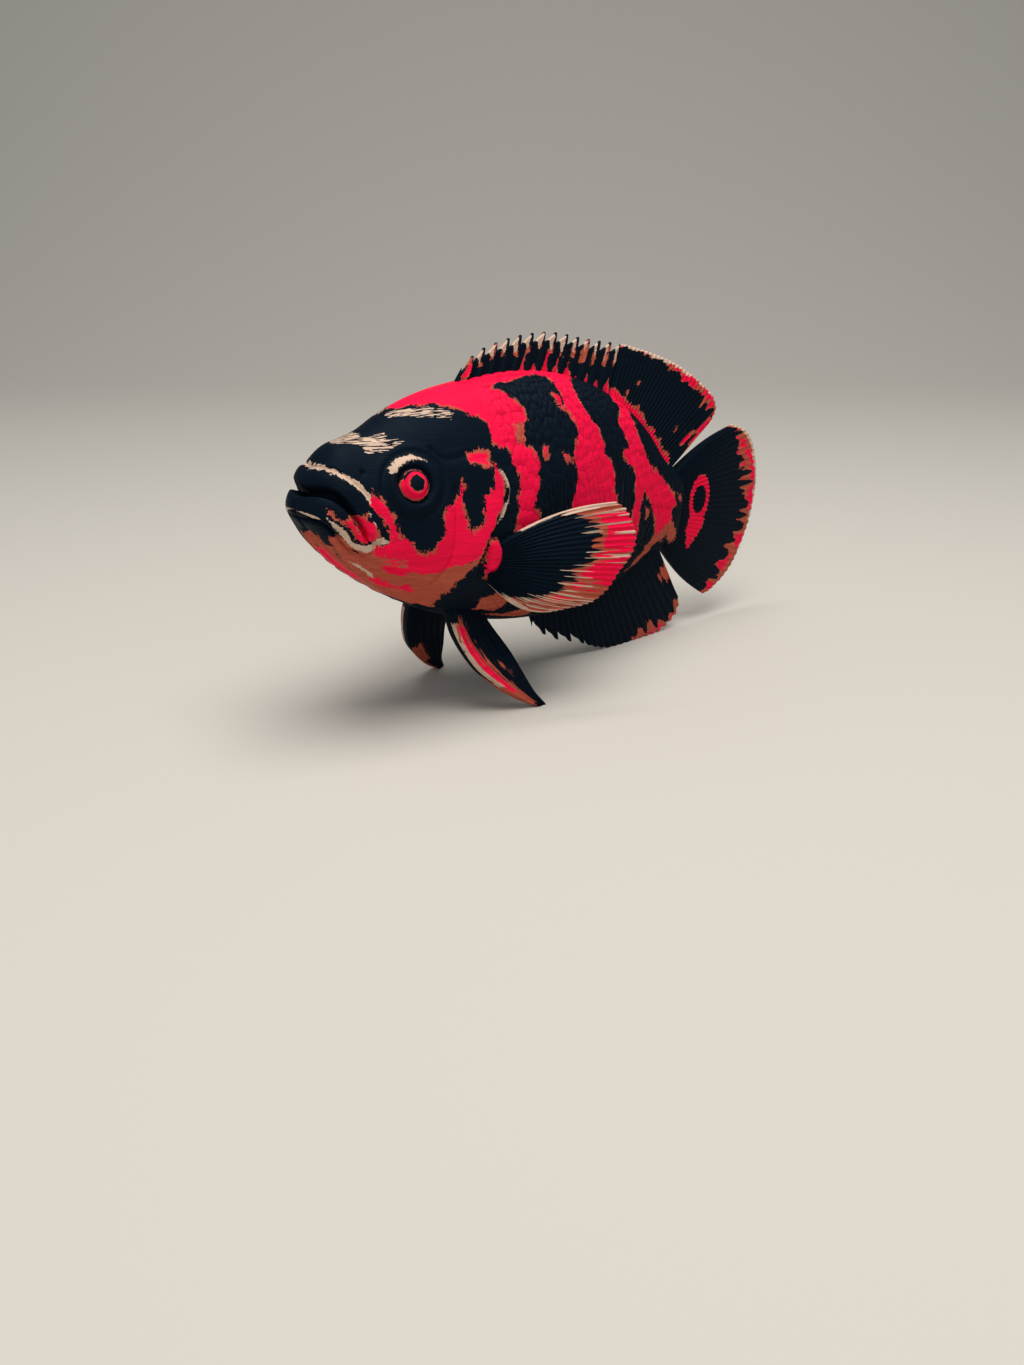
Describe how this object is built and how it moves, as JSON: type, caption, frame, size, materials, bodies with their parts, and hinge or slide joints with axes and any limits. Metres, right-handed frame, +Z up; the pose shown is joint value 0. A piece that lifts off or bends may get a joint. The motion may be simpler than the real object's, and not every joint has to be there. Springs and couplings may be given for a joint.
{
  "type": "printed plastic oscar fish figurine",
  "caption": "Still figurine of a tiger oscar cichlid in multicolour printed plastic, standing on its pelvic fin tips and anal fin.",
  "frame": {"origin": "centre of the box in plan, on the surface that the figurine stands on", "axes": "+X from head to tail, +Y to the fish's right side, +Z up"},
  "size_m": [0.1642, 0.0628, 0.0873],
  "materials": {
    "navy_plastic": "matte printed plastic with fine level layer lines",
    "coral_plastic": "matte printed plastic with fine level layer lines",
    "salmon_plastic": "matte printed plastic with fine level layer lines",
    "iris_plastic": "matte printed plastic with fine level layer lines"
  },
  "bodies": {
    "root": {"head": "navy_plastic", "upper_lip": "coral_plastic", "lower_jaw": "salmon_plastic", "eye_left": "iris_plastic", "eye_right": "iris_plastic", "gill_cover_left": "coral_plastic", "gill_cover_right": "coral_plastic", "torso": "navy_plastic", "tail_stalk": "navy_plastic", "dorsal_fin_spiny": "navy_plastic", "dorsal_fin_soft": "navy_plastic", "anal_fin": "navy_plastic", "caudal_fin": "navy_plastic", "pectoral_fin_left": "navy_plastic", "pectoral_fin_right": "navy_plastic", "pelvic_fin_left": "coral_plastic", "pelvic_fin_right": "coral_plastic"}
  },
  "joints": []
}
